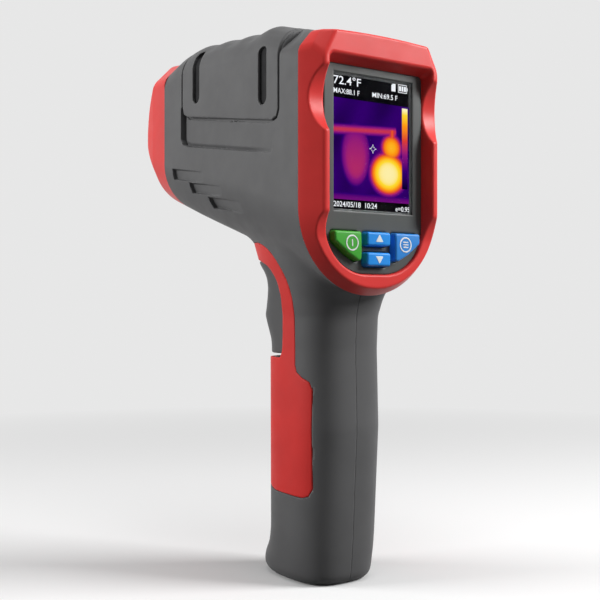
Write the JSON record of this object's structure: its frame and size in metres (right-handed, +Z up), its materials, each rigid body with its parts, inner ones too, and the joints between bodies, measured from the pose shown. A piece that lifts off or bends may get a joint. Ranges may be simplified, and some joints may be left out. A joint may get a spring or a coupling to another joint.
{
  "type": "thermal imaging camera",
  "caption": "Pistol-grip thermal camera with a display and keys at the rear, an infrared lens at the front, a trigger and a flap over its ports.",
  "frame": {"origin": "centre of the mouth of the tripod insert, on the base plane", "axes": "+Z up the handle to the head, +Y out of the lens towards the subject, +X to the right of a user who looks at the display"},
  "size_m": [0.076, 0.1536, 0.2537],
  "materials": {
    "housing_plastic": "fine satin texture, dark grey",
    "red_plastic": "satin, red",
    "faceplate_plastic": "satin, dark grey",
    "grip_rubber": "soft over-moulding, red",
    "black_plastic": "matte, black",
    "window_clear": "clear hard-coated window",
    "display_glass": "glossy display",
    "key_green": "satin, green",
    "key_blue": "satin, blue",
    "menu_blue": "satin, blue",
    "board_green": "solder mask",
    "plated_steel": "plated",
    "dark_steel": "black oxide",
    "brass": "turned",
    "barrel_metal": "black anodised",
    "germanium": "coated germanium",
    "seal_rubber": "moulded seal",
    "sensor_ceramic": "ceramic package",
    "lamp_reflector": "bright",
    "cell_wrap": "shrink wrap",
    "trigger_plastic": "satin, dark grey"
  },
  "bodies": {
    "body": {"left_shell": "housing_plastic", "right_shell": "housing_plastic", "grip_insert": "grip_rubber", "base_plate": "housing_plastic", "tripod_insert": "brass", "rear_bezel": "red_plastic", "faceplate": "faceplate_plastic", "display_window": "window_clear", "display_module": "display_glass", "chassis_plate": "black_plastic", "main_board": "board_green", "processor_shield": "plated_steel", "buzzer": "black_plastic", "keypad_board": "board_green", "front_bezel": "red_plastic", "front_panel": "black_plastic", "lens_barrel": "barrel_metal", "barrel_gasket": "seal_rubber", "infrared_lens": "germanium", "lens_retainer": "barrel_metal", "sensor_board": "board_green", "infrared_sensor": "sensor_ceramic", "camera_board": "board_green", "camera_module": "black_plastic", "camera_window": "window_clear", "lamp": "lamp_reflector", "lamp_window": "window_clear", "saddle_cover": "housing_plastic", "flap_pin": "plated_steel", "port_board": "board_green", "usb_socket": "plated_steel", "card_socket": "plated_steel", "memory_card": "black_plastic", "trigger_pin": "plated_steel", "trigger_spring": "plated_steel", "trigger_board": "board_green", "trigger_switch": "black_plastic", "battery_holder": "black_plastic", "battery_cell": "cell_wrap", "battery_spring": "plated_steel", "case_screws": "dark_steel", "faceplate_screws": "dark_steel", "panel_screws": "dark_steel"},
    "power_key": {"power_key": "key_green"},
    "up_key": {"up_key": "key_blue"},
    "down_key": {"down_key": "key_blue"},
    "menu_key": {"menu_key": "menu_blue"},
    "trigger": {"trigger": "trigger_plastic"},
    "port_flap": {"port_flap": "housing_plastic"}
  },
  "joints": [
    {"name": "power_key_press", "type": "slide", "parent": "body", "child": "power_key", "axis": [0, 1, 0], "range_m": [0, 0.0008], "stiffness_N_per_m": 800},
    {"name": "up_key_press", "type": "slide", "parent": "body", "child": "up_key", "axis": [0, 1, 0], "range_m": [0, 0.0008], "stiffness_N_per_m": 800},
    {"name": "down_key_press", "type": "slide", "parent": "body", "child": "down_key", "axis": [0, 1, 0], "range_m": [0, 0.0008], "stiffness_N_per_m": 800},
    {"name": "menu_key_press", "type": "slide", "parent": "body", "child": "menu_key", "axis": [0, 1, 0], "range_m": [0, 0.0008], "stiffness_N_per_m": 800},
    {"name": "trigger_pull", "type": "hinge", "parent": "body", "child": "trigger", "pos_m": [0, 0.017, 0.149], "axis": [-1, 0, 0], "range_deg": [0, 7], "stiffness_Nm_per_rad": 0.6, "springref_deg": -5.73},
    {"name": "flap_open", "type": "hinge", "parent": "body", "child": "port_flap", "pos_m": [0, 0.0258, 0.249], "axis": [-1, 0, 0], "range_deg": [0, 95]}
  ]
}
